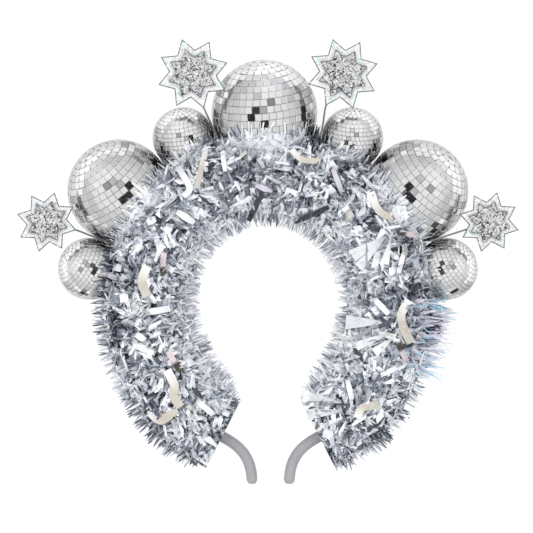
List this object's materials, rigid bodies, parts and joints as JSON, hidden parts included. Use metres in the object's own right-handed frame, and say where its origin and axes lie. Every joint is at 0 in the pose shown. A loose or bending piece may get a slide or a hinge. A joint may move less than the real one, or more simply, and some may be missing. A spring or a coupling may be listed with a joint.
{
  "type": "disco ball headband",
  "caption": "Costume headband wound with silver tinsel, with mirror balls in a row over the crown and layered glitter stars on short wires between them.",
  "frame": {"origin": "on the surface it lies on, below the middle of its outline", "axes": "+X to the right of its front view, +Y from the band's tips to the crown ball, +Z out of its front, which faces up as it lies on its back"},
  "size_m": [0.2454, 0.2174, 0.0548],
  "materials": {
    "band_plastic": "satin grey",
    "tinsel_film": "silver metallised film",
    "mirror_tile": "polished mirror tiles",
    "white_glitter": "white iridescent glitter",
    "silver_glitter": "coarse silver glitter",
    "stem_wire": "satin"
  },
  "bodies": {
    "root": {"headband": "band_plastic", "tinsel_garland": "tinsel_film", "ball_crown": "mirror_tile", "ball_small_upper_left": "mirror_tile", "ball_small_upper_right": "mirror_tile", "ball_large_left": "mirror_tile", "ball_large_right": "mirror_tile", "ball_small_lower_left": "mirror_tile", "ball_small_lower_right": "mirror_tile", "star_back_upper_left": "white_glitter", "star_back_upper_right": "white_glitter", "star_back_lower_left": "white_glitter", "star_back_lower_right": "white_glitter", "star_front_upper_left": "silver_glitter", "star_front_upper_right": "silver_glitter", "star_front_lower_left": "silver_glitter", "star_front_lower_right": "silver_glitter", "star_stem_upper_left": "stem_wire", "star_stem_upper_right": "stem_wire", "star_stem_lower_left": "stem_wire", "star_stem_lower_right": "stem_wire"}
  },
  "joints": []
}
